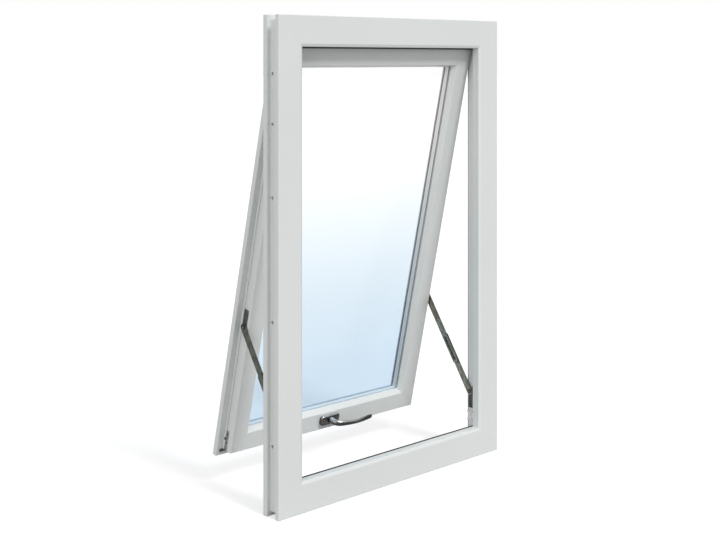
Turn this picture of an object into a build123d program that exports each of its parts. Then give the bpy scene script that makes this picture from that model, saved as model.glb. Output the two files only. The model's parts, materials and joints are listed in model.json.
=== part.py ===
import os
from math import atan2, cos, degrees, hypot, radians, sin

from build123d import *

# A top-hung window that swings outward at the bottom, standing open on two extending stays.
# Millimetres. X runs along the window, Z is up, and a depth is measured from the room face
# towards the outside, along +Y. The row's origin is under the middle of the sill's room foot.

# Fixed frame
frame_width = 790
frame_height = 1190
frame_depth = 58
face_width = 75.5  # outer edge to the lip's edge
lip_depth = 25
lip_width = 21.5  # how far the lip stands in from the rebate
bevel_width = 7
bevel_depth = 3
room_foot = 12
outer_foot = 14
groove_depth = 11  # wall groove on the frame's outer side, between its feet
guide_width = 2  # drill guide scored along the groove's floor, in line with the holes
guide_depth = 1
edge_round = 1.5
lip_round = 2
cut_margin = 1  # how far a cutting shape reaches past what it cuts

# Fixing holes through the jambs
hole_radius = 4
hole_depth_place = 36.5
hole_lowest = 165
hole_pitch = 295
holes_in_row = 4
extra_hole_height = 930

# Sash, closed
open_angle = 12.7
seal_room = 5  # lip to sash
flange_seal = 6  # frame to flange
side_lap = 9.5  # how far the sash covers the lip at the sides
head_lap = 6.5
sill_lap = 10.5
flange_width = 18
flange_thickness = 15
flat_width = 47
shoulder_width = 8
shoulder_depth = 16
fittings_groove = 3.5
groove_width = 11.4
groove_to_flange = 6
sash_round = 2
flange_round = 1

# Glazing
pane_thickness = 4
cavity = 12
glass_cover = 14  # how far the sash covers the glass edge
glass_play = 4
gasket_thickness = 2
gasket_cover = 7
spacer_width = 12
spacer_shows = 1  # spacer past the sight line
bead_thickness = 6
bead_slope = 4

# Frame seals
seal_play = 0.3
inner_seal_width = 9
inner_seal_side = 6  # how far it stays behind the lip at the jambs
inner_seal_sill = 2  # how far it shows past the lip at the sill and the head
inner_seal_head = 4
outer_seal_width = 5
outer_seal_back = 1  # how far it stays behind the rebate's edge

# Hinges
hinge_from_corner = 127  # flange's corner to the middle of a leaf
leaf_width = 60
leaf_height = 28
leaf_thickness = 2.5
knuckle_radius = 5
knuckle_to_leaf = 0.5  # barrel to the frame leaf's face
knuckle_play = 0.3
knuckle_rise = 1.5  # barrel above the sash leaf
pin_radius = 2.5
running_play = 0.05
sash_leaf_height = 30

# Stays
frame_pivot_depth = 50
plate_above_keep = 7
sash_pivot_depth = 46
sash_pivot_height = 400
plate_thickness = 2.5
plate_width = 14
plate_reach = 46  # pivot to the far end of a plate
arm_thickness = 2.6
arm_width = 19
arm_play = 0.4
lower_arm_length = 165
upper_arm_length = 203
pivot_radius = 3
rivet_head_radius = 6
rivet_head = 1.4
slot_width = 6.4
slot_end = 5  # slot to the arm's lower end
stud_radius = 2.6
stud_height = 2
stud_pitch = 15
stud_count = 4
stud_to_slot = 10
stud_off_middle = 3  # towards the arm's room edge

# Lock
lock_plate_length = 50
lock_plate_thickness = 3
lock_plate_from_corner = 0.5
lock_play = 0.3
roller_radius = 4
roller_length = 6
roller_height = 33  # above the sash's lower edge
keep_base = 2
keep_side = 4
keep_play = 5
keep_depth = 18
keep_from_outside = 1
keep_reach = 8

# Handle
handle_height = 28.5  # above the sash's lower edge
rosette_length = 65
rosette_height = 28
rosette_thickness = 11
rosette_round = 4
rosette_corner = 8
spindle_radius = 5
spindle_play = 1  # spindle's end to the sash
lever_gap = 0.3
collar_radius = 9.5
collar_tip_radius = 7
collar_length = 14
neck_width = 15
neck_reach = 34  # from the rail to the bend's outer side
neck_throat_reach = 28  # and to its inner side
neck_bend = 16
neck_throat = 8
lever_height = 14
lever_length = 125
lever_stand_off = 53
lever_thickness = 10
bow_place = 54  # where the grip stands furthest from the rail
bow_round = 60
bow_round_inner = 50
tip_drop = 7
tip_thickness = 8
tip_round = 3.5
lever_round = 3

# Derived places
rebate_edge = face_width - lip_width
jamb_inner_x = frame_width / 2 - rebate_edge
sash_face = lip_depth + seal_room
flange_face = frame_depth + flange_seal
sash_back = flange_face + flange_thickness
sash_half = frame_width / 2 - face_width + side_lap
sash_bottom = face_width - sill_lap
sash_top = frame_height - face_width + head_lap
sash_outer_width = 2 * (sash_half + flange_width)
sash_outer_height = sash_top - sash_bottom + 2 * flange_width
sight_line = flat_width + shoulder_width
glass_room = sash_face + shoulder_depth + gasket_thickness
glass_mid_room = glass_room + pane_thickness
glass_mid_out = glass_mid_room + cavity
glass_out = glass_mid_out + pane_thickness
bead_room = glass_out + gasket_thickness
glass_edge = sight_line - glass_cover
rebate_floor = glass_edge - glass_play
axis_depth = frame_depth + leaf_thickness + knuckle_to_leaf + knuckle_radius
axis_height = sash_top + flange_width + leaf_thickness + knuckle_rise + knuckle_radius
hinge_place = sash_outer_width / 2 - hinge_from_corner
keep_half = roller_radius + keep_play + keep_side
roller_at = sash_bottom + roller_height
frame_pivot_height = roller_at + keep_half + plate_above_keep + plate_reach
hinge_line = Axis((0, axis_depth, axis_height), (1, 0, 0))
origin_shift = Location((0, -room_foot / 2, 0))


def opened(shape):
    """The closed sash's shape, swung out to where it stands at rest."""
    return shape.rotate(hinge_line, open_angle)


def save(shape, name):
    """Write one piece, moved to the row's origin."""
    export_step(shape.moved(origin_shift), f"parts/{name}.step")


def block(x0, x1, y0, y1, z0, z1):
    """A box between two corners."""
    return Pos((x0 + x1) / 2, (y0 + y1) / 2, (z0 + z1) / 2) * Box(x1 - x0, y1 - y0, z1 - z0)


def rod(start, direction, radius, length):
    """A round bar from start along direction."""
    return extrude(Plane(origin=start, z_dir=direction) * Circle(radius), amount=length)


def bar(outline, rounds, length):
    """A mitred bar along X, its outer edge on Z = 0. Outline points are (inward, depth)."""
    corners = [(depth, inward) for inward, depth in outline]
    section = Plane.YZ * make_face(FilletPolyline(*corners, radius=rounds, close=True))
    inner = max(inward for inward, depth in outline)
    half = length / 2
    mitre = Polyline((-half, 0), (half, 0), (half - inner, inner), (inner - half, inner), close=True)
    wedge = extrude(Plane.XZ * make_face(mitre), amount=frame_depth * 4, both=True)
    return extrude(section, amount=half, both=True) & wedge


def four_bars(outline, rounds, width, height, bottom):
    """Top, bottom, left and right bars of a mitred ring, lying in the closed window."""
    flat = bar(outline, rounds, width)
    upright = bar(outline, rounds, height)
    middle = bottom + height / 2
    return {
        "bottom": Pos(0, 0, bottom) * flat,
        "top": Pos(0, 0, bottom + height) * Rot(0, 180, 0) * flat,
        "left": Pos(-width / 2, 0, middle) * Rot(0, 90, 0) * upright,
        "right": Pos(width / 2, 0, middle) * Rot(0, -90, 0) * upright,
    }


def ring(outline, rounds, width, height, bottom):
    """The four bars of a ring joined into one piece."""
    bars = four_bars(outline, rounds, width, height, bottom)
    return bars["bottom"] + bars["left"] + bars["top"] + bars["right"]


def frame_members():
    """Head, sill and jambs, mitred, with the fixing holes through the jambs."""
    outline = [
        (0, 0),
        (face_width - bevel_width, 0),
        (face_width, bevel_depth),
        (face_width, lip_depth),
        (rebate_edge, lip_depth),
        (rebate_edge, frame_depth),
        (0, frame_depth),
        (0, frame_depth - outer_foot),
        (groove_depth, frame_depth - outer_foot),
        (groove_depth, hole_depth_place + guide_width / 2),
        (groove_depth + guide_depth, hole_depth_place),
        (groove_depth, hole_depth_place - guide_width / 2),
        (groove_depth, room_foot),
        (0, room_foot),
    ]
    r = edge_round
    rounds = [r, r, r, lip_round, 0, r, r, 0, 0, 0, 0, 0, 0, 0]
    bars = four_bars(outline, rounds, frame_width, frame_height, 0)
    heights = [hole_lowest + i * hole_pitch for i in range(holes_in_row)] + [extra_hole_height]
    for z in heights:
        hole = rod((-frame_width / 2, hole_depth_place, z), (1, 0, 0), hole_radius, frame_width)
        bars["left"] -= hole
        bars["right"] -= hole
    save(bars["top"], "frame_head")
    save(bars["bottom"], "frame_sill")
    save(bars["left"], "frame_jamb_left")
    save(bars["right"], "frame_jamb_right")


def frame_seals():
    """Soft strips on the lip and on the frame's outside face, just clear of the closed sash."""
    seal_in = [
        (0, lip_depth),
        (inner_seal_width, lip_depth),
        (inner_seal_width - edge_round, sash_face - seal_play),
        (edge_round, sash_face - seal_play),
    ]
    back = face_width - inner_seal_width
    width = frame_width - 2 * (back - inner_seal_side)
    bottom = back + inner_seal_sill
    top = frame_height - back - inner_seal_head
    save(ring(seal_in, 0, width, top - bottom, bottom), "frame_gasket_inner")

    edge = rebate_edge - outer_seal_back
    seal_out = [
        (edge - outer_seal_width, frame_depth),
        (edge, frame_depth),
        (edge - edge_round, flange_face - seal_play),
        (edge - outer_seal_width + edge_round, flange_face - seal_play),
    ]
    save(ring(seal_out, 0, frame_width, frame_height, 0), "frame_gasket_outer")


def sash_outline():
    """Section of a sash bar as (inward from the flange's edge, depth)."""
    body = flange_width
    groove_out = flange_face - groove_to_flange
    groove_room = groove_out - groove_width
    points = [
        (body, sash_face),
        (body + flat_width, sash_face),
        (body + sight_line, sash_face + shoulder_depth),
        (body + rebate_floor, sash_face + shoulder_depth),
        (body + rebate_floor, sash_back),
        (0, sash_back),
        (0, flange_face),
        (body, flange_face),
        (body, groove_out),
        (body + fittings_groove, groove_out),
        (body + fittings_groove, groove_room),
        (body, groove_room),
    ]
    r = sash_round
    rounds = [r, r, flange_round, 0, flange_round, r, r, 0, 0, 0, 0, 0]
    return points, rounds


def sash_members():
    """Top and bottom rails and the stiles, swung open with everything on them."""
    points, rounds = sash_outline()
    bottom = sash_bottom - flange_width
    bars = four_bars(points, rounds, sash_outer_width, sash_outer_height, bottom)
    names = {"top": "top_rail", "bottom": "bottom_rail", "left": "stile_left", "right": "stile_right"}
    for side, name in names.items():
        save(opened(bars[side]), f"sash_{name}")


def sash_ring(outline, rounds):
    """A ring inside the sash, its outline measured from the edge of the sash's room face."""
    width = 2 * sash_half
    return ring(outline, rounds, width, sash_top - sash_bottom, sash_bottom)


def strip(inward, cover, depth, thickness):
    """Outline of a plain strip that ends at inward and reaches back over cover."""
    return [
        (inward - cover, depth),
        (inward, depth),
        (inward, depth + thickness),
        (inward - cover, depth + thickness),
    ]


def glazing():
    """Two panes, their spacer, the strips that grip them and the outside beads."""
    half = sash_half - glass_edge
    low = sash_bottom + glass_edge
    high = sash_top - glass_edge
    pane_in = block(-half, half, glass_room, glass_mid_room, low, high)
    pane_out = block(-half, half, glass_mid_out, glass_out, low, high)
    save(opened(pane_in), "glass_inner")
    save(opened(pane_out), "glass_outer")

    spacer_at = sight_line + spacer_shows
    spacer = sash_ring(strip(spacer_at, spacer_width, glass_mid_room, cavity), 0)
    save(opened(spacer), "glass_spacer")
    seal_from = glass_room - gasket_thickness
    seal_in = sash_ring(strip(sight_line, gasket_cover, seal_from, gasket_thickness), 0)
    save(opened(seal_in), "glazing_gasket_inner")
    seal_out = sash_ring(strip(sight_line, gasket_cover, glass_out, gasket_thickness), 0)
    save(opened(seal_out), "glazing_gasket_outer")

    bead = [
        (rebate_floor, bead_room),
        (sight_line, bead_room),
        (sight_line, bead_room + bead_thickness - bead_slope),
        (sight_line - bead_slope, bead_room + bead_thickness),
        (rebate_floor, bead_room + bead_thickness),
    ]
    height = sash_top - sash_bottom
    bars = four_bars(bead, 0, 2 * sash_half, height, sash_bottom)
    for side, shape in bars.items():
        save(opened(shape), f"bead_{side}")


def hinge(x, side):
    """One hinge: a frame leaf with two knuckles and the pin, and a cranked sash leaf."""
    x0 = x - leaf_width / 2
    x1 = x + leaf_width / 2
    third = leaf_width / 3
    plate_out = frame_depth + leaf_thickness
    low = axis_height - knuckle_radius
    leaf = block(x0, x1, frame_depth, plate_out, axis_height, low + leaf_height)
    for start in (x0, x1 - third + knuckle_play):
        length = third - knuckle_play
        web_top = axis_height + knuckle_radius
        leaf += block(start, start + length, frame_depth, axis_depth, axis_height, web_top)
        leaf += rod((start, axis_depth, axis_height), (1, 0, 0), knuckle_radius, length)
    leaf += rod((x0, axis_depth, axis_height), (1, 0, 0), pin_radius, leaf_width)
    save(leaf, f"hinge_frame_leaf_{side}")

    edge = sash_top + flange_width
    cover = sash_back + leaf_thickness
    wrap = block(x0, x1, flange_face, cover, edge, edge + leaf_thickness)
    wrap += block(x0, x1, sash_back, cover, edge - sash_leaf_height, edge + leaf_thickness)
    mid = x0 + third
    web_out = axis_depth + knuckle_radius
    wrap += block(mid, mid + third, flange_face, web_out, edge, axis_height)
    wrap += rod((mid, axis_depth, axis_height), (1, 0, 0), knuckle_radius, third)
    hole = rod((x0, axis_depth, axis_height), (1, 0, 0), pin_radius + running_play, leaf_width)
    save(opened(wrap - hole), f"hinge_sash_leaf_{side}")


def sash_pivot_open():
    """Depth and height of a stay's sash pivot with the sash at rest."""
    turn = radians(open_angle)
    y = sash_pivot_depth - axis_depth
    z = sash_pivot_height - axis_height
    depth = axis_depth + y * cos(turn) - z * sin(turn)
    return depth, axis_height + y * sin(turn) + z * cos(turn)


def arm(length, x):
    """A flat arm that runs up from its pivot at the origin, rounded at both ends."""
    shape = Pos(0, length / 2) * SlotCenterToCenter(length, arm_width, rotation=90)
    shape -= Circle(pivot_radius + running_play)
    place = Plane(origin=(x, 0, 0), x_dir=(0, 1, 0), z_dir=(1, 0, 0))
    return extrude(place * shape, amount=arm_thickness)


def slot(shape, near, far, x):
    """Cut a round-ended slot between two distances from the arm's pivot."""
    cut = Pos(0, (near + far) / 2) * SlotCenterToCenter(far - near, slot_width, rotation=90)
    place = Plane(origin=(x - cut_margin, 0, 0), x_dir=(0, 1, 0), z_dir=(1, 0, 0))
    return shape - extrude(place * cut, amount=arm_thickness + 2 * cut_margin)


def stay(side):
    """Both plates and both arms of one stay, drawn at the right and mirrored for the left."""
    upper_x = sash_half + plate_thickness + arm_play
    lower_x = upper_x + arm_thickness + arm_play
    lower_out = lower_x + arm_thickness
    pivot_y, pivot_z = sash_pivot_open()
    run = pivot_y - frame_pivot_depth
    rise = pivot_z - frame_pivot_height
    reach = hypot(run, rise)
    closed_run = sash_pivot_depth - frame_pivot_depth
    closed_rise = sash_pivot_height - frame_pivot_height
    closed_reach = hypot(closed_run, closed_rise)
    lean = degrees(atan2(run, rise))

    lower = arm(lower_arm_length, lower_x)
    lower = Pos(0, frame_pivot_depth, frame_pivot_height) * Rot(-lean, 0, 0) * lower

    upper = arm(upper_arm_length, upper_x)
    far = upper_arm_length - slot_end
    near = far - (reach - closed_reach)
    upper = slot(upper, near, far, upper_x)
    for i in range(stud_count):
        foot = (upper_x, stud_off_middle, near - stud_to_slot - i * stud_pitch)
        upper += rod(foot, (-1, 0, 0), stud_radius, stud_height)
    upper = Pos(0, pivot_y, pivot_z) * Rot(180 - lean, 0, 0) * upper

    low = block(
        jamb_inner_x - plate_thickness,
        jamb_inner_x,
        frame_pivot_depth - plate_width / 2,
        frame_pivot_depth + plate_width / 2,
        frame_pivot_height - plate_reach,
        frame_pivot_height + plate_width / 2,
    )
    inward = (-1, 0, 0)
    boss_start = (jamb_inner_x - plate_thickness, frame_pivot_depth, frame_pivot_height)
    low += rod(boss_start, inward, plate_width / 2, boss_start[0] - lower_out - arm_play)
    head_x = lower_x - arm_play
    low += rod(boss_start, inward, pivot_radius, boss_start[0] - head_x)
    low += rod((head_x, frame_pivot_depth, frame_pivot_height), inward, rivet_head_radius, rivet_head)

    high = block(
        sash_half,
        sash_half + plate_thickness,
        sash_pivot_depth - plate_width / 2,
        sash_pivot_depth + plate_width / 2,
        sash_pivot_height - plate_width / 2,
        sash_pivot_height + plate_reach,
    )
    outward = (1, 0, 0)
    head_out = upper_x + arm_thickness + arm_play
    pin_length = head_out - sash_half
    high += rod((sash_half, sash_pivot_depth, sash_pivot_height), outward, pivot_radius, pin_length)
    head_at = (head_out, sash_pivot_depth, sash_pivot_height)
    high += rod(head_at, outward, rivet_head_radius, rivet_head)
    high = opened(high)

    pieces = {"lower_arm": lower, "upper_arm": upper, "frame_plate": low, "sash_plate": high}
    for name, shape in pieces.items():
        if side == "left":
            shape = mirror(shape, about=Plane.YZ)
        save(shape, f"stay_{name}_{side}")
    return lean, degrees(atan2(closed_run, closed_rise))


def lock(side):
    """Corner piece with its roller on the sash, and the keep on the jamb that it enters."""
    floor = sash_half - fittings_groove
    groove_out = flange_face - groove_to_flange
    z0 = sash_bottom + lock_plate_from_corner
    plate = block(
        floor,
        floor + lock_plate_thickness,
        groove_out - groove_width + lock_play,
        groove_out - lock_play,
        z0,
        z0 + lock_plate_length,
    )
    middle = groove_out - groove_width / 2
    length = lock_plate_thickness + roller_length
    plate += rod((floor, middle, roller_at), (1, 0, 0), roller_radius, length)
    plate = opened(plate)

    y1 = frame_depth - keep_from_outside
    y0 = y1 - keep_depth
    base = jamb_inner_x - keep_base
    keep = block(base, jamb_inner_x, y0, y1, roller_at - keep_half, roller_at + keep_half)
    for z in (roller_at - keep_half, roller_at + keep_half - keep_side):
        keep += block(jamb_inner_x - keep_reach, jamb_inner_x, y0, y1, z, z + keep_side)
    for name, shape in {"lock_plate": plate, "lock_keep": keep}.items():
        if side == "left":
            shape = mirror(shape, about=Plane.YZ)
        save(shape, f"{name}_{side}")


def handle():
    """Rosette on the bottom rail and the cast lever that turns in it."""
    z = sash_bottom + handle_height
    front = sash_face - rosette_thickness
    half_long = rosette_length / 2
    half_tall = rosette_height / 2
    rosette = block(-half_long, half_long, front, sash_face, z - half_tall, z + half_tall)
    rosette = fillet(rosette.edges().filter_by(Axis.Y), rosette_corner)
    rosette = fillet(rosette.faces().sort_by(Axis.Y)[0].edges(), rosette_round)
    hole = rosette_thickness + cut_margin
    rosette -= rod((0, sash_face, z), (0, -1, 0), spindle_radius + running_play, hole)
    save(opened(rosette), "handle_rosette")

    half = neck_width / 2
    start = rosette_thickness + lever_gap
    tip = lever_stand_off - tip_drop
    outline = [
        (-half, start),
        (-half, neck_reach),
        (bow_place, lever_stand_off),
        (lever_length, tip),
        (lever_length, tip - tip_thickness),
        (bow_place, lever_stand_off - lever_thickness),
        (half, neck_throat_reach),
        (half, start),
    ]
    rounds = [0, neck_bend, bow_round, tip_round, tip_round, bow_round_inner, neck_throat, 0]
    place = Plane(origin=(0, sash_face, z), x_dir=(1, 0, 0), z_dir=(0, 0, -1))
    side_view = make_face(FilletPolyline(*outline, radius=rounds, close=True))
    lever = extrude(place * side_view, amount=lever_height / 2, both=True)
    flats = lever.faces().sort_by(Axis.Z)
    lever = fillet(flats[0].edges() + flats[-1].edges(), lever_round)
    collar = Cone(collar_radius, collar_tip_radius, collar_length)
    foot = Plane(origin=(0, sash_face - start, z), z_dir=(0, -1, 0))
    lever += foot * Pos(0, 0, collar_length / 2) * collar
    root = (0, sash_face - start - cut_margin, z)
    lever += rod(root, (0, 1, 0), spindle_radius, start + cut_margin - spindle_play)
    save(opened(lever), "handle_lever")


os.makedirs("parts", exist_ok=True)
frame_members()
frame_seals()
sash_members()
glazing()
for side, sign in (("left", -1), ("right", 1)):
    hinge(sign * hinge_place, side)
    lock(side)
    lean, closed_lean = stay(side)
handle()
print("hinge line", axis_depth - room_foot / 2, axis_height)
print("frame pivot", frame_pivot_depth - room_foot / 2, frame_pivot_height)
print("sash pivot", [round(v, 4) for v in sash_pivot_open()], "arm turns", round(lean - closed_lean, 5))
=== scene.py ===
import json
from math import atan2, radians

import bmesh
import bpy
from mathutils import Matrix, Vector

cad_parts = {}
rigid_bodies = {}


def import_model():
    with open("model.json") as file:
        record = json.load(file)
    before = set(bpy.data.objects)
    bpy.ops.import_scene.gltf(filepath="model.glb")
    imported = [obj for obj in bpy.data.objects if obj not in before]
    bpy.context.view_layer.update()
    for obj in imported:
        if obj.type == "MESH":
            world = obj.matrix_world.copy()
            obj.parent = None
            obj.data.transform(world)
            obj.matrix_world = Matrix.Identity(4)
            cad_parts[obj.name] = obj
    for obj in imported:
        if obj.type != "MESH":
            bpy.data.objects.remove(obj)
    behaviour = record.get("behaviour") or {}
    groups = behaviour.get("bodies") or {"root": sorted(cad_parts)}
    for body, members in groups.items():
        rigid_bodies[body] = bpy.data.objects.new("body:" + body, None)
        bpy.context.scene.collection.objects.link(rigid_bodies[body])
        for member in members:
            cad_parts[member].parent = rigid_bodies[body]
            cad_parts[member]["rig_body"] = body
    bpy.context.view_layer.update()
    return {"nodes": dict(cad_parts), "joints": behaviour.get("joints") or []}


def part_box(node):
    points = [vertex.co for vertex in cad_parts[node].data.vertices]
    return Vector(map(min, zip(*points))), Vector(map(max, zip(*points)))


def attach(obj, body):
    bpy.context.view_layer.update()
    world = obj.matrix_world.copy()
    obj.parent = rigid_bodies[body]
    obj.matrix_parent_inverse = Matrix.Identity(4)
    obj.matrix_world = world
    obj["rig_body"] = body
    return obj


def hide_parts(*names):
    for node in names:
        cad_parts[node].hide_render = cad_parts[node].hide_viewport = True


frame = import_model()
nodes = frame["nodes"]


# Fixed frame. Four lengths of extruded white PVC profile, cut to mitres and welded.
# The weld is planed flush on the faces and leaves a hairline across each corner.
mm = 0.001
profile_white = (0.682, 0.703, 0.696, 1)
profile_ease = 0.2 * mm
cloud_scale = 3.0
cloud_dark = 0.985
cloud_light = 1.01
die_line_scale = 700
die_line_length = 50.0
die_line_depth = 0.04 * mm
pattern_low = 0.3
pattern_high = 0.7
first_tone_ends = 0.35
second_tone_starts = 0.65
weld_distance = 0.005 * mm
flat_below = radians(0.5)
smooth_below = radians(32)


def new_finish(name, colour, roughness, metal=0.0):
    """A material with one shader, and Object coordinates for its patterns."""
    made = bpy.data.materials.new(name)
    made.use_nodes = True
    tree = made.node_tree
    shader = tree.nodes["Principled BSDF"]
    shader.inputs["Base Color"].default_value = colour
    shader.inputs["Roughness"].default_value = roughness
    shader.inputs["Metallic"].default_value = metal
    place = tree.nodes.new("ShaderNodeTexCoord")
    return made, tree, shader, place.outputs["Object"]


def grain(tree, place, scale, drawn=(1, 1, 1), lean=0.0, detail=3):
    """A noise on Object coordinates, drawn out along the piece where it was drawn or rolled."""
    turn = tree.nodes.new("ShaderNodeMapping")
    turn.vector_type = "TEXTURE"
    turn.inputs["Rotation"].default_value = (lean, 0, 0)
    turn.inputs["Scale"].default_value = drawn
    noise = tree.nodes.new("ShaderNodeTexNoise")
    noise.inputs["Scale"].default_value = scale
    noise.inputs["Detail"].default_value = detail
    tree.links.new(place, turn.inputs["Vector"])
    tree.links.new(turn.outputs["Vector"], noise.inputs["Vector"])
    return noise.outputs["Fac"]


def ranged(tree, value, start, end, low=0.0, high=1.0):
    """A value that runs from low to high while another runs from start to end."""
    node = tree.nodes.new("ShaderNodeMapRange")
    node.inputs["From Min"].default_value = start
    node.inputs["From Max"].default_value = end
    node.inputs["To Min"].default_value = low
    node.inputs["To Max"].default_value = high
    tree.links.new(value, node.inputs["Value"])
    return node.outputs["Result"]


def spread(tree, pattern, low, high):
    """A pattern whose middle range runs from low to high."""
    return ranged(tree, pattern, pattern_low, pattern_high, low, high)


def toned(tree, value, first, last, middle=None):
    """A colour that a value moves through tones, each given as its place and its colour."""
    node = tree.nodes.new("ShaderNodeValToRGB")
    stops = node.color_ramp.elements
    stops[0].position, stops[0].color = first
    stops[1].position, stops[1].color = last
    if middle:
        place, colour = middle
        stops.new(place).color = colour
    tree.links.new(value, node.inputs["Fac"])
    return node.outputs["Color"]


def two_tones(tree, pattern, first, second):
    """A colour that a pattern moves between two tones."""
    return toned(tree, pattern, (first_tone_ends, first), (second_tone_starts, second))


def vary_roughness(tree, shader, pattern, low, high):
    """Roughness that a pattern moves between two values."""
    tree.links.new(spread(tree, pattern, low, high), shader.inputs["Roughness"])


def raise_surface(tree, shader, height, strength, distance):
    """Bump from a pattern, with its height in metres."""
    bump = tree.nodes.new("ShaderNodeBump")
    bump.inputs["Strength"].default_value = strength
    bump.inputs["Distance"].default_value = distance
    tree.links.new(height, bump.inputs["Height"])
    tree.links.new(bump.outputs["Normal"], shader.inputs["Normal"])


def shade(colour, share):
    """The same colour, lighter or darker by a share."""
    return tuple(min(c * share, 1) for c in colour[:3]) + (1,)


def white_profile(name, along, lean=0.0):
    """Satin PVC with the faint drawing lines that the die leaves along a profile."""
    made, tree, shader, place = new_finish(name, profile_white, 0.34)
    cloud = grain(tree, place, cloud_scale)
    tone = two_tones(tree, cloud, shade(profile_white, cloud_dark), shade(profile_white, cloud_light))
    tree.links.new(tone, shader.inputs["Base Color"])
    drawn = tuple(die_line_length if axis == along else 1.0 for axis in "XYZ")
    lines = grain(tree, place, die_line_scale, drawn, lean, detail=2)
    vary_roughness(tree, shader, lines, 0.30, 0.40)
    raise_surface(tree, shader, lines, 0.15, die_line_depth)
    return made


def as_mesh(shape, name):
    """A finished bmesh as a mesh of its own."""
    mesh = bpy.data.meshes.new(name)
    shape.to_mesh(mesh)
    shape.free()
    return mesh


def add_piece(name, shape, body, material):
    """Turn a finished bmesh into a piece that rides on a body."""
    mesh = as_mesh(shape, name)
    mesh.shade_smooth()
    mesh.set_sharp_from_angle(angle=smooth_below)
    mesh.materials.append(material)
    piece = bpy.data.objects.new(name, mesh)
    bpy.context.scene.collection.objects.link(piece)
    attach(piece, body)
    return piece


def round_edges(shape, edges, width, steps):
    """Round some edges of a shape over a width, in a few steps."""
    bmesh.ops.bevel(
        shape,
        geom=edges,
        offset=width,
        offset_type="OFFSET",
        affect="EDGES",
        segments=steps,
        profile=0.5,
        material=-1,
    )


def eased(node, width, material):
    """A node's own shape with its sharp edges eased by a hair, as cutting and casting leave them."""
    shape = bmesh.new()
    shape.from_mesh(nodes[node].data)
    bmesh.ops.remove_doubles(shape, verts=shape.verts, dist=weld_distance)
    bmesh.ops.dissolve_limit(shape, angle_limit=flat_below, verts=shape.verts, edges=shape.edges)
    sharp = [e for e in shape.edges if len(e.link_faces) == 2 and e.calc_face_angle() > smooth_below]
    round_edges(shape, sharp, width, steps=2)
    bmesh.ops.recalc_face_normals(shape, faces=shape.faces)
    piece = add_piece(f"{node}_eased", shape, nodes[node]["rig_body"], material)
    even = piece.modifiers.new("even_shading", "WEIGHTED_NORMAL")
    even.keep_sharp = True
    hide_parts(node)


frame_along = white_profile("white_profile_along", "X")
frame_upright = white_profile("white_profile_upright", "Z")
for bar in ("frame_head", "frame_sill"):
    eased(bar, profile_ease, frame_along)
for bar in ("frame_jamb_left", "frame_jamb_right"):
    eased(bar, profile_ease, frame_upright)


# Frame seals. Rubber strips pressed into the lip, in black, and into the frame's outside face,
# in grey. The closed sash squeezes them, and the black one shows as a thin line past the lip.
rubber_grey = (0.50, 0.50, 0.50, 1)
rubber_black = (0.012, 0.012, 0.012, 1)
seal_ease = 0.4 * mm


def soft_rubber(name, colour):
    """Matt extruded rubber with a fine skin."""
    made, tree, shader, place = new_finish(name, colour, 0.55)
    vary_roughness(tree, shader, grain(tree, place, 120), 0.45, 0.65)
    raise_surface(tree, shader, grain(tree, place, 900), 0.4, 0.1 * mm)
    return made


grey_rubber = soft_rubber("grey_rubber", rubber_grey)
black_rubber = soft_rubber("black_rubber", rubber_black)
eased("frame_gasket_inner", seal_ease, black_rubber)
eased("frame_gasket_outer", seal_ease, grey_rubber)


# Opening sash. The same white PVC, welded at its mitres, with an outer flange and a groove
# round its edge for the fittings. The room edge of the glass rebate is a sloped shoulder.
joints = {joint["name"]: joint for joint in frame["joints"]}
hinge_place = Vector(joints["sash_hinge"]["pos_m"])
open_angle = -radians(joints["sash_hinge"]["range_deg"][0])
# takes a point of the shut sash to its place on the open one
swing = (
    Matrix.Translation(hinge_place)
    @ Matrix.Rotation(open_angle, 4, "X")
    @ Matrix.Translation(-hinge_place)
)


def closed_box(node):
    """Lowest and highest corner of a sash node, with the sash shut."""
    shut = swing.inverted()
    points = [shut @ vertex.co for vertex in nodes[node].data.vertices]
    low = Vector([min(p[i] for p in points) for i in range(3)])
    high = Vector([max(p[i] for p in points) for i in range(3)])
    return low, high


sash_along = white_profile("white_sash_along", "X", open_angle)
sash_upright = white_profile("white_sash_upright", "Z", open_angle)
for bar in ("sash_top_rail", "sash_bottom_rail"):
    eased(bar, profile_ease, sash_along)
for bar in ("sash_stile_left", "sash_stile_right"):
    eased(bar, profile_ease, sash_upright)


# Foot seal. A black rubber strip clipped under the bottom rail, between the rail's body and
# its flange, that keeps driven rain out. Its end shows as a dark wedge at each lower corner.
foot_seal_size = Vector((676, 6, 7)) * mm
foot_seal_below_lock = 0.8 * mm
foot_seal_slope = 3 * mm
foot_seal_rounding = 0.8 * mm
flange_thickness = 15 * mm
foot_seal_top = closed_box("lock_plate_left")[0].z - foot_seal_below_lock
flange_face = closed_box("sash_bottom_rail")[1].y - flange_thickness
foot_seal = bmesh.new()
bmesh.ops.create_cube(foot_seal, size=1)
bmesh.ops.scale(foot_seal, verts=foot_seal.verts, vec=foot_seal_size)
lip = [v for v in foot_seal.verts if v.co.z < 0 and v.co.y < 0]
bmesh.ops.translate(foot_seal, verts=lip, vec=(0, foot_seal_slope, 0))
round_edges(foot_seal, foot_seal.edges[:], foot_seal_rounding, steps=3)
seal_middle = Vector((0, flange_face - foot_seal_size.y / 2, foot_seal_top - foot_seal_size.z / 2))
bmesh.ops.transform(foot_seal, matrix=swing @ Matrix.Translation(seal_middle), verts=foot_seal.verts)
bmesh.ops.recalc_face_normals(foot_seal, faces=foot_seal.faces)
add_piece("sash_foot_seal", foot_seal, "sash", black_rubber)


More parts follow.
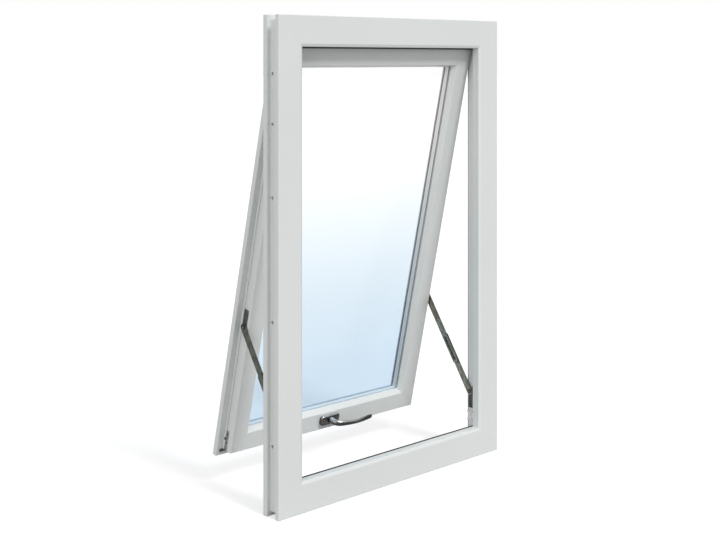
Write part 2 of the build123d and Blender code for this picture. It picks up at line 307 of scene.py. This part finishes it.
# Glazing. Two panes round an aluminium spacer, gripped by grey rubber strips, with four white
# beads snapped in on the outside. The glass is clear at the top and carries a painted reflection,
# faintly blue, at its foot, and the strips are painted pale to that tone along the bottom.
strip_ease = 0.3 * mm
strip_height = 9 * mm
strip_fade_height = 0.06
strip_painted_reflection = (0.0, (0.86, 0.90, 0.93, 1))
strip_grey = (0.15, rubber_grey)
# painted reflection on the glass: pale blue at the foot, none at the top
painted_reflection_foot = 0.218
painted_reflection_top = 0.86
painted_reflection_full = (0.0, (0.872, 0.916, 0.951, 1))
painted_reflection_middle = (0.35, (0.900, 0.934, 0.958, 1))
no_painted_reflection = (1.0, (1, 1, 1, 1))
pane_ior = 1.2
spacer_ease = 0.3 * mm
spacer_hole_scale = 420


def coordinate(tree, vector, axis):
    """One number of a place or a direction."""
    split = tree.nodes.new("ShaderNodeSeparateXYZ")
    tree.links.new(vector, split.inputs["Vector"])
    return split.outputs[axis]


def worked_out(tree, operation, first, second):
    """The outcome of an operation on two values, each a number or a node's output."""
    node = tree.nodes.new("ShaderNodeMath")
    node.operation = operation
    for value, socket in zip((first, second), node.inputs):
        if isinstance(value, bpy.types.NodeSocket):
            tree.links.new(value, socket)
        else:
            socket.default_value = value
    return node.outputs["Value"]


def glazing_rubber():
    """Grey rubber at the sides and the top, painted pale along the bottom to the tone of the glass's
    painted reflection.
    """
    made = soft_rubber("glazing_rubber", rubber_grey)
    tree = made.node_tree
    place = tree.nodes.new("ShaderNodeTexCoord")
    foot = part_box("glazing_gasket_inner")[0].z + strip_height
    height = coordinate(tree, place.outputs["Object"], "Z")
    rise = ranged(tree, height, foot, foot + strip_fade_height)
    # painted reflection: the strips along the bottom take the glass's pale painted tone
    tone = toned(tree, rise, strip_painted_reflection, strip_grey)
    tree.links.new(tone, tree.nodes["Principled BSDF"].inputs["Base Color"])
    return made


def pane_glass():
    """Clear glass that lets light straight through and mirrors a little, with a painted reflection that
    turns it blue downward.
    """
    made = bpy.data.materials.new("pane_glass")
    made.use_nodes = True
    tree = made.node_tree
    tree.nodes.remove(tree.nodes["Principled BSDF"])
    place = tree.nodes.new("ShaderNodeTexCoord")
    height = coordinate(tree, place.outputs["Object"], "Z")
    rise = ranged(tree, height, painted_reflection_foot, painted_reflection_top)
    # painted reflection: a pale blue that grows towards the foot of the pane
    painted_blue = toned(tree, rise, painted_reflection_full, no_painted_reflection, painted_reflection_middle)
    clear = tree.nodes.new("ShaderNodeBsdfTransparent")
    tree.links.new(painted_blue, clear.inputs["Color"])
    mirror = tree.nodes.new("ShaderNodeBsdfGlossy")
    mirror.inputs["Roughness"].default_value = 0.0
    share = tree.nodes.new("ShaderNodeFresnel")
    share.inputs["IOR"].default_value = pane_ior
    side = tree.nodes.new("ShaderNodeNewGeometry")
    outside = worked_out(tree, "SUBTRACT", 1.0, side.outputs["Backfacing"])
    mirrored = worked_out(tree, "MULTIPLY", share.outputs["Fac"], outside)
    both = tree.nodes.new("ShaderNodeMixShader")
    tree.links.new(mirrored, both.inputs["Fac"])
    tree.links.new(clear.outputs["BSDF"], both.inputs[1])
    tree.links.new(mirror.outputs["BSDF"], both.inputs[2])
    tree.links.new(both.outputs["Shader"], tree.nodes["Material Output"].inputs["Surface"])
    return made


def spacer_aluminium():
    """Mill aluminium, pricked with fine holes for the drying grains inside."""
    made, tree, shader, place = new_finish("spacer_aluminium", (0.90, 0.90, 0.88, 1), 0.55)
    holes = tree.nodes.new("ShaderNodeTexVoronoi")
    holes.inputs["Scale"].default_value = spacer_hole_scale
    tree.links.new(place, holes.inputs["Vector"])
    raise_surface(tree, shader, holes.outputs["Distance"], 0.5, 0.2 * mm)
    return made


for bead in ("bead_top", "bead_bottom"):
    eased(bead, profile_ease, sash_along)
for bead in ("bead_left", "bead_right"):
    eased(bead, profile_ease, sash_upright)
glazing_strip = glazing_rubber()
for seal in ("glazing_gasket_inner", "glazing_gasket_outer"):
    eased(seal, strip_ease, glazing_strip)
glass = pane_glass()
for pane in ("glass_inner", "glass_outer"):
    nodes[pane].data.materials.clear()
    nodes[pane].data.materials.append(glass)
eased("glass_spacer", spacer_ease, spacer_aluminium())


# Hinges. Two butt hinges of white-coated steel over the head, each leaf held by three
# countersunk cross-head screws.
leaf_ease = 0.25 * mm
leaf_thickness = 2.5 * mm
knuckle_radius = 5 * mm
screw_radius = 3.4 * mm
screw_seat = 0.15 * mm
screw_pitch = 20 * mm
sash_screws_up = 13 * mm
outward = Vector((0, 1, 0))
upward = Vector((0, 0, 1))


def coated_steel():
    """White powder coating with the fine ripple of a baked skin."""
    made, tree, shader, place = new_finish("coated_steel", (0.72, 0.73, 0.72, 1), 0.4)
    raise_surface(tree, shader, grain(tree, place, 420), 0.35, 0.1 * mm)
    return made


def bright_zinc():
    """Bright zinc plating, as on new screws."""
    made, tree, shader, place = new_finish("bright_zinc", (0.42, 0.43, 0.44, 1), 0.3, 1.0)
    vary_roughness(tree, shader, grain(tree, place, 700), 0.22, 0.4)
    raise_surface(tree, shader, grain(tree, place, 1500), 0.2, 0.05 * mm)
    return made


def points_among(geom):
    """The vertices among what an operator made."""
    return [g for g in geom if isinstance(g, bmesh.types.BMVert)]


def cross_head():
    """A screw head of radius 1, facing +Z, slightly domed and with a cross recess."""
    cells = 7
    cell = 2 / cells
    recess_reach = cell * 2.5
    recess_depth = 0.5
    dome = 0.22
    skirt_depth = 0.6
    shape = bmesh.new()
    bmesh.ops.create_grid(shape, x_segments=cells, y_segments=cells, size=1)
    cross = []
    for face in shape.faces:
        x, y = (abs(v) for v in face.calc_center_median().xy)
        if min(x, y) < cell / 2 and max(x, y) < recess_reach:
            cross.append(face)
    for vertex in shape.verts:
        reach = max(abs(vertex.co.x), abs(vertex.co.y))
        vertex.co *= reach / vertex.co.length
        vertex.co.z = dome * (1 - reach * reach)
    sunk = bmesh.ops.extrude_face_region(shape, geom=cross)["geom"]
    bmesh.ops.delete(shape, geom=cross, context="FACES_ONLY")
    bmesh.ops.translate(shape, verts=points_among(sunk), vec=(0, 0, -recess_depth))
    rim = [e for e in shape.edges if e.is_boundary]
    skirt = bmesh.ops.extrude_edge_only(shape, edges=rim)["geom"]
    bmesh.ops.translate(shape, verts=points_among(skirt), vec=(0, 0, -skirt_depth))
    bmesh.ops.contextual_create(shape, geom=[e for e in shape.edges if e.is_boundary])
    bmesh.ops.recalc_face_normals(shape, faces=shape.faces)
    return as_mesh(shape, "cross_head")


def facing(place, normal, size):
    """A matrix that puts a unit shape at a place, facing along a normal."""
    out = Vector(normal).normalized()
    side = upward.cross(out).normalized()
    turn = Matrix((side, out.cross(side), out)).transposed().to_4x4()
    return Matrix.Translation(place) @ turn @ Matrix.Scale(size, 4)


def three_screws(middle, depth, height):
    """Places of a leaf's three screws, in a row and facing outwards."""
    spots = [Vector((middle + i * screw_pitch, depth, height)) for i in (-1, 0, 1)]
    return [facing(spot, outward, screw_radius) for spot in spots]


def gathered(name, unit, places, body, material):
    """One piece made of the same small shape in several places."""
    shape = bmesh.new()
    for place in places:
        copy = unit.copy()
        copy.transform(place)
        shape.from_mesh(copy)
        bpy.data.meshes.remove(copy)
    add_piece(name, shape, body, material)


white_coat = coated_steel()
zinc_screw = bright_zinc()
screw_head = cross_head()
for side in ("left", "right"):
    eased(f"hinge_frame_leaf_{side}", leaf_ease, white_coat)
    eased(f"hinge_sash_leaf_{side}", leaf_ease, white_coat)
    low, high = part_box(f"hinge_frame_leaf_{side}")
    middle = (low.x + high.x) / 2
    row = (high.z + hinge_place.z + knuckle_radius) / 2
    places = three_screws(middle, low.y + leaf_thickness - screw_seat, row)
    gathered(f"hinge_frame_screws_{side}", screw_head, places, "frame", zinc_screw)
    leaf_face = closed_box("sash_top_rail")[1].y + leaf_thickness - screw_seat
    row = closed_box(f"hinge_sash_leaf_{side}")[0].z + sash_screws_up
    places = [swing @ place for place in three_screws(middle, leaf_face, row)]
    gathered(f"hinge_sash_screws_{side}", screw_head, places, "sash", zinc_screw)


# Stays. Flat steel arms, zinc plated and passivated to a dull olive grey, riveted to their
# plates. A guide stud on each lower arm runs in the upper arm's slot, and four small studs
# on the upper arm, capped in bright zinc, brake it against the sash.
stay_ease = 0.3 * mm
plate_thickness = 2.5 * mm
plate_screw_radius = 3.2 * mm
plate_screws_from_end = (9 * mm, 26 * mm)
rivet_radius = 5.6 * mm
guide_radius = 5 * mm
guide_along = 99.26 * mm
guide_play = 1.05 * mm
guide_shank = 0.85
stud_radius = 2.3 * mm
stud_height = 2 * mm
stud_off_middle = 3 * mm
stud_places = [along * mm for along in (81.8, 96.8, 111.8, 126.8)]
arm_lean = radians(32.8)
zinc_patch_dark = (0.062, 0.069, 0.06, 1)
zinc_patch_pale = (0.1, 0.108, 0.094, 1)
# pale streaks, partly rubbing wear and partly painted sheen
zinc_rub_and_sheen_low = (0.13, 0.132, 0.106, 1)
zinc_rub_and_sheen_high = (0.34, 0.333, 0.278, 1)
rub_scale = 330
rub_drawn = (1, 1, 6)
rub_and_sheen_full_at = -0.3


def dull_zinc(name, rub_and_sheen=False):
    """Passivated zinc, and on the arms' inner faces paler streaks: rubbing wear where the arms slide,
    and painted sheen on the faces that look towards the window's middle.
    """
    made, tree, shader, place = new_finish(name, (0.10, 0.108, 0.092, 1), 0.42, 1.0)
    patch = two_tones(tree, grain(tree, place, 60), zinc_patch_dark, zinc_patch_pale)
    if rub_and_sheen:
        rub = grain(tree, place, rub_scale, rub_drawn, -arm_lean)
        streak_and_sheen = two_tones(tree, rub, zinc_rub_and_sheen_low, zinc_rub_and_sheen_high)
        # painted sheen and rubbing wear: faces towards the window's middle are paler than the outer
        # ones
        way = tree.nodes.new("ShaderNodeTexCoord")
        inner = tree.nodes.new("ShaderNodeVectorMath")
        inner.operation = "MULTIPLY"
        tree.links.new(way.outputs["Normal"], inner.inputs[0])
        tree.links.new(place, inner.inputs[1])
        share = ranged(tree, coordinate(tree, inner.outputs["Vector"], "X"), 0.0, rub_and_sheen_full_at)
        mixed = tree.nodes.new("ShaderNodeMix")
        mixed.data_type = "RGBA"
        tree.links.new(share, mixed.inputs["Factor"])
        tree.links.new(patch, mixed.inputs["A"])
        tree.links.new(streak_and_sheen, mixed.inputs["B"])
        patch = mixed.outputs["Result"]
    tree.links.new(patch, shader.inputs["Base Color"])
    vary_roughness(tree, shader, grain(tree, place, 300), 0.34, 0.5)
    raise_surface(tree, shader, grain(tree, place, 800), 0.3, 0.1 * mm)
    return made


def button_head(name, shank):
    """A rivet head of radius 1, facing +Z, with a rounded rim, and a shank of some length below."""
    sides = 24
    top_radius = 0.94
    thickness = 0.5
    lift = 0.1
    rim_rounding = 0.32
    shank_radius = 0.6
    shape = bmesh.new()
    bmesh.ops.create_cone(
        shape, cap_ends=True, segments=sides, radius1=1, radius2=top_radius, depth=thickness
    )
    bmesh.ops.translate(shape, verts=shape.verts, vec=(0, 0, lift))
    rim = [e for e in shape.edges if all(v.co.z > lift for v in e.verts)]
    round_edges(shape, rim, rim_rounding, steps=4)
    if shank:
        bmesh.ops.create_cone(
            shape,
            cap_ends=True,
            segments=sides,
            radius1=shank_radius,
            radius2=shank_radius,
            depth=shank,
            matrix=Matrix.Translation((0, 0, -shank / 2)),
        )
    return as_mesh(shape, name)


def near_middle(box, sign):
    """A box's side towards the window's middle, at the left (-1) or the right (1)."""
    low, high = box
    return low.x if sign > 0 else high.x


def near_jamb(box, sign):
    """A box's side towards the jamb, at the left (-1) or the right (1)."""
    return near_middle(box, -sign)


stay_zinc = dull_zinc("dull_zinc")
rub_and_sheen_zinc = dull_zinc("rub_and_sheen_zinc", rub_and_sheen=True)
rivet_head = button_head("button_head", 0)
guide_head = button_head("guide_head", guide_shank)
for side, sign in (("left", -1), ("right", 1)):
    for node in ("frame_plate", "sash_plate"):
        eased(f"stay_{node}_{side}", stay_ease, stay_zinc)
    for node in ("lower_arm", "upper_arm"):
        eased(f"stay_{node}_{side}", stay_ease, rub_and_sheen_zinc)
    inward = Vector((-sign, 0, 0))
    frame_pivot = Vector(joints[f"lower_arm_turn_{side}"]["pos_m"])
    sash_pivot = Vector(joints[f"upper_arm_turn_{side}"]["pos_m"])

    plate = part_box(f"stay_frame_plate_{side}")
    spot = Vector((near_middle(plate, sign), frame_pivot.y, frame_pivot.z))
    place = facing(spot, inward, rivet_radius)
    gathered(f"stay_frame_rivet_{side}", rivet_head, [place], "frame", stay_zinc)
    face = near_jamb(plate, sign) - sign * plate_thickness
    foot = plate[0].z
    spots = [Vector((face, frame_pivot.y, foot + up)) for up in plate_screws_from_end]
    places = [facing(spot, inward, plate_screw_radius) for spot in spots]
    gathered(f"stay_frame_screws_{side}", screw_head, places, "frame", stay_zinc)

    plate = closed_box(f"stay_sash_plate_{side}")
    spot = Vector((near_jamb(plate, sign), sash_pivot.y, sash_pivot.z))
    place = facing(spot, -inward, rivet_radius)
    gathered(f"stay_sash_rivet_{side}", rivet_head, [place], "sash", stay_zinc)
    face = near_middle(plate, sign) + sign * plate_thickness
    middle = (plate[0].y + plate[1].y) / 2
    top = plate[1].z
    spots = [Vector((face, middle, top - down)) for down in plate_screws_from_end]
    places = [swing @ facing(spot, -inward, plate_screw_radius) for spot in spots]
    gathered(f"stay_sash_screws_{side}", screw_head, places, "sash", stay_zinc)

    stud_face = near_middle(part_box(f"stay_upper_arm_{side}"), sign)
    arm_face = stud_face + sign * stud_height
    run = Vector((0, frame_pivot.y - sash_pivot.y, frame_pivot.z - sash_pivot.z)).normalized()
    to_room = Vector((0, run.z, -run.y))
    start = Vector((stud_face, sash_pivot.y, sash_pivot.z))
    spots = [start + run * along + to_room * stud_off_middle for along in stud_places]
    places = [facing(spot, inward, stud_radius) for spot in spots]
    gathered(f"stay_stud_caps_{side}", rivet_head, places, f"upper_arm_{side}", zinc_screw)
    start = Vector((arm_face - sign * guide_play, frame_pivot.y, frame_pivot.z))
    place = facing(start - run * guide_along, inward, guide_radius)
    gathered(f"stay_guide_{side}", guide_head, [place], f"lower_arm_{side}", stay_zinc)


# Lock. A pale zinc-plated corner piece in the sash's groove carries a dark roller, and a
# white-coated keep on the jamb takes it in when the handle is turned. Both are screwed on.
lock_ease = 0.3 * mm
lock_plate_thickness = 3 * mm
lock_screw_radius = 3 * mm
lock_screw_up = 20 * mm
lock_screw_down = 7 * mm
keep_ease = 0.4 * mm
keep_base = 2 * mm
roller_radius = 4.1 * mm
roller_above_plate = 32.5 * mm


def pale_zinc():
    """Zinc plating with a pale matt passivation."""
    made, tree, shader, place = new_finish("pale_zinc", (0.36, 0.37, 0.37, 1), 0.4, 1.0)
    vary_roughness(tree, shader, grain(tree, place, 300), 0.32, 0.48)
    raise_surface(tree, shader, grain(tree, place, 900), 0.25, 0.08 * mm)
    return made


lock_zinc = pale_zinc()
for side, sign in (("left", -1), ("right", 1)):
    eased(f"lock_plate_{side}", lock_ease, lock_zinc)
    eased(f"lock_keep_{side}", keep_ease, white_coat)
    inward = Vector((-sign, 0, 0))
    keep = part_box(f"lock_keep_{side}")
    low, high = keep
    face = near_jamb(keep, sign) - sign * keep_base
    spot = Vector((face, (low.y + high.y) / 2, (low.z + high.z) / 2))
    place = facing(spot, inward, lock_screw_radius)
    gathered(f"lock_keep_screw_{side}", screw_head, [place], "frame", white_coat)

    plate = closed_box(f"lock_plate_{side}")
    low, high = plate
    face = near_middle(plate, sign) + sign * lock_plate_thickness
    middle = (low.y + high.y) / 2
    spots = [Vector((face, middle, z)) for z in (low.z + lock_screw_up, high.z - lock_screw_down)]
    places = [swing @ facing(spot, -inward, lock_screw_radius) for spot in spots]
    gathered(f"lock_plate_screws_{side}", screw_head, places, "sash", stay_zinc)
    spot = Vector((near_jamb(plate, sign), middle, low.z + roller_above_plate))
    place = swing @ facing(spot, -inward, roller_radius)
    gathered(f"lock_roller_cap_{side}", rivet_head, [place], "sash", stay_zinc)


# Handle. A zinc casting with a satin pewter finish. Its base is screwed to the bottom rail
# under a clipped-on cover, and the lever turns in it and bows back towards the sash.
handle_place = Vector(joints["handle_turn"]["pos_m"])
handle_out = Vector(joints["handle_turn"]["axis"]).normalized()
handle_side = Vector((1, 0, 0))
handle_turned = Matrix((handle_side, handle_out.cross(handle_side), handle_out)).transposed()
handle_frame = Matrix.Translation(handle_place) @ handle_turned.to_4x4()
low, high = closed_box("handle_rosette")
rosette_size = (high - low).xzy
rosette_corner = 8 * mm
cover_rim = 4 * mm
base_thickness = 1.8 * mm
base_set_back = 0.7 * mm
base_rim = 0.2 * mm
lever_sides = 12
# painted shade, plain level and painted highlight of the handle's tone
pewter_painted_shade = (0.2, (0.025, 0.026, 0.025, 1))
pewter_level = (0.55, (0.11, 0.112, 0.108, 1))
pewter_painted_highlight = (0.95, (0.60, 0.60, 0.59, 1))
wear_patches = 0.12
tip_darkens_from = 0.07
tip_dark_at = 0.12
tip_darkening = -0.9

# each section's middle along the window and out from the rail, its thickness and height, in mm
lever_sections = (
    (0, 11.4, 19.0, 19.0),
    (0, 13.5, 19.6, 19.6),
    (0, 19.0, 17.2, 18.4),
    (0.2, 25.0, 14.8, 17.2),
    (2.6, 31.6, 13.6, 17.2),
    (8.8, 37.2, 12.8, 16.8),
    (20, 41.2, 11.8, 15.6),
    (38, 45.2, 11.0, 14.2),
    (58, 47.6, 10.6, 13.8),
    (80, 47.2, 10.2, 13.6),
    (100, 45.0, 10.0, 13.4),
    (114, 43.0, 9.8, 13.0),
    (121.5, 41.8, 8.4, 11.6),
    (124.6, 41.3, 4.4, 6.4),
)


def satin_pewter():
    """A cast finish with a painted highlight on top, painted shade underneath, and darker towards the
    tip.
    """
    made, tree, shader, place = new_finish("satin_pewter", (0.12, 0.12, 0.115, 1), 0.25, 1.0)
    way = tree.nodes.new("ShaderNodeTexCoord")
    patches = spread(tree, grain(tree, place, 60), -wear_patches, wear_patches)
    # painted light: lighter where a face points up, darker where it points down, with random patches
    painted_light_and_patches = worked_out(tree, "ADD", coordinate(tree, way.outputs["Normal"], "Z"), patches)
    # darker towards the tip
    along = coordinate(tree, place, "X")
    toward_tip_darkening = ranged(tree, along, tip_darkens_from, tip_dark_at, 0.0, tip_darkening)
    rise = ranged(tree, worked_out(tree, "ADD", painted_light_and_patches, toward_tip_darkening), -1.0, 1.0)
    tone = toned(tree, rise, pewter_painted_shade, pewter_painted_highlight, pewter_level)
    tree.links.new(tone, shader.inputs["Base Color"])
    vary_roughness(tree, shader, grain(tree, place, 260), 0.2, 0.32)
    raise_surface(tree, shader, grain(tree, place, 500), 0.15, 0.08 * mm)
    return made


def rounded_block(size, corner, rim, low):
    """A block on the rail with round corners and a round rim, low above the rail."""
    shape = bmesh.new()
    bmesh.ops.create_cube(shape, size=1)
    bmesh.ops.scale(shape, verts=shape.verts, vec=size)
    bmesh.ops.translate(shape, verts=shape.verts, vec=(0, 0, low + size.z / 2))
    uprights = [e for e in shape.edges if abs(e.verts[0].co.z - e.verts[1].co.z) > size.z / 2]
    round_edges(shape, uprights, corner, steps=8)
    top = low + size.z - weld_distance
    round_edges(shape, [e for e in shape.edges if all(v.co.z > top for v in e.verts)], rim, steps=5)
    bmesh.ops.recalc_face_normals(shape, faces=shape.faces)
    return shape


def lever_skin():
    """The lever's skin, drawn from one oval section to the next and closed at both ends."""
    middles = [Vector((section[0], 0, section[1])) * mm for section in lever_sections]
    places = []
    for i, middle in enumerate(middles):
        run = middles[min(i + 1, len(middles) - 1)] - middles[max(i - 1, 0)]
        turn = Matrix.Rotation(atan2(run.x, run.z), 4, "Y")
        thick, tall = lever_sections[i][2:]
        size = Matrix.Diagonal((thick * mm / 2, tall * mm / 2, mm, 1))
        places.append(handle_frame @ Matrix.Translation(middle) @ turn @ size)
    shape = bmesh.new()
    bmesh.ops.create_circle(shape, cap_ends=True, segments=lever_sides, radius=1, matrix=places[0])
    edges = list(shape.edges)
    for last, place in zip(places, places[1:]):
        drawn = bmesh.ops.extrude_edge_only(shape, edges=edges)["geom"]
        points = points_among(drawn)
        drawn_edges = [g for g in drawn if isinstance(g, bmesh.types.BMEdge)]
        edges = [e for e in drawn_edges if all(v in points for v in e.verts)]
        bmesh.ops.transform(shape, matrix=place @ last.inverted(), verts=points)
    bmesh.ops.contextual_create(shape, geom=edges)
    bmesh.ops.recalc_face_normals(shape, faces=shape.faces)
    return shape


pewter = satin_pewter()
cover_size = rosette_size - Vector((0, 0, base_thickness))
cover = rounded_block(cover_size, rosette_corner, cover_rim, base_thickness)
bmesh.ops.transform(cover, matrix=handle_frame, verts=cover.verts)
cover_piece = add_piece("handle_cover", cover, "sash", pewter)
base_length = rosette_size.x - base_set_back * 2
base_height = rosette_size.y - base_set_back * 2
base_size = Vector((base_length, base_height, base_thickness))
base = rounded_block(base_size, rosette_corner - base_set_back, base_rim, 0)
bmesh.ops.transform(base, matrix=handle_frame, verts=base.verts)
add_piece("handle_base", base, "sash", pewter)
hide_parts("handle_rosette")
lever = add_piece("handle_grip", lever_skin(), "handle", pewter)
rounding = lever.modifiers.new("rounding", "SUBSURF")
rounding.levels = 2
rounding.render_levels = 2
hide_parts("handle_lever")


# Studio. A pale floor, a white surround, a large soft lamp from the front, weak ones from the
# left and behind, and the camera where the photograph was taken.
plain_white = (1, 1, 1, 1)
sky_on_window = 0.54
sky_seen = 1.0
floor_reach = 60
floor_on_window = (0.36, 0.36, 0.36, 1)
floor_as_seen = (0.5, 0.5, 0.5, 1)
floor_glow = 0.59


def seen_or_mirrored(tree):
    """One where a ray is seen by the camera, mirrored or has come through glass."""
    rays = tree.nodes.new("ShaderNodeLightPath")
    seen = worked_out(tree, "MAXIMUM", rays.outputs["Is Camera Ray"], rays.outputs["Is Glossy Ray"])
    return worked_out(tree, "MAXIMUM", seen, rays.outputs["Is Transmission Ray"])


world = bpy.data.worlds.new("studio")
bpy.context.scene.world = world
world.use_nodes = True
sky_tree = world.node_tree
sky = sky_tree.nodes["Background"]
sky.inputs["Color"].default_value = plain_white
sky_strength = ranged(sky_tree, seen_or_mirrored(sky_tree), 0.0, 1.0, sky_on_window, sky_seen)
sky_tree.links.new(sky_strength, sky.inputs["Strength"])

floor_shape = bmesh.new()
bmesh.ops.create_grid(floor_shape, x_segments=1, y_segments=1, size=floor_reach)
floor_mesh = as_mesh(floor_shape, "floor")
floor = bpy.data.objects.new("floor", floor_mesh)
bpy.context.scene.collection.objects.link(floor)
pale = bpy.data.materials.new("pale_floor")
pale.use_nodes = True
floor_tree = pale.node_tree
floor_seen = seen_or_mirrored(floor_tree)
floor_tone = floor_tree.nodes.new("ShaderNodeMix")
floor_tone.data_type = "RGBA"
floor_tone.inputs["A"].default_value = floor_on_window
floor_tone.inputs["B"].default_value = floor_as_seen
floor_tree.links.new(floor_seen, floor_tone.inputs["Factor"])
floor_shader = floor_tree.nodes["Principled BSDF"]
floor_shader.inputs["Roughness"].default_value = 0.9
floor_shader.inputs["Specular IOR Level"].default_value = 0.0
floor_shader.inputs["Emission Color"].default_value = plain_white
floor_tree.links.new(
    worked_out(floor_tree, "MULTIPLY", floor_seen, floor_glow), floor_shader.inputs["Emission Strength"]
)
floor_tree.links.new(floor_tone.outputs["Result"], floor_shader.inputs["Base Color"])
floor_mesh.materials.append(pale)


def soft_sun(name, towards, strength, width):
    """Far light from one side, as wide in the sky as a large soft lamp."""
    lamp = bpy.data.lights.new(name, "SUN")
    lamp.energy = strength
    lamp.angle = radians(width)
    holder = bpy.data.objects.new(name, lamp)
    holder.rotation_euler = Vector(towards).to_track_quat("Z", "Y").to_euler()
    bpy.context.scene.collection.objects.link(holder)


soft_sun("key_light", (0, -0.32, 0.31), 1.88, 15)
soft_sun("side_light", (-1, -0.35, 0.2), 0.95, 30)
soft_sun("back_light", (0.2, 0.8, 0.45), 0.5, 35)

camera_data = bpy.data.cameras.new("camera")
camera_data.lens = 62.83
camera_data.sensor_width = 36
camera_data.shift_y = -0.2932
camera = bpy.data.objects.new("camera", camera_data)
camera.location = (-2.296, -2.276, 1.083)
camera.rotation_euler = (radians(90), 0, radians(-43.68))
bpy.context.scene.collection.objects.link(camera)
bpy.context.scene.camera = camera
bpy.context.scene.view_settings.view_transform = "Standard"
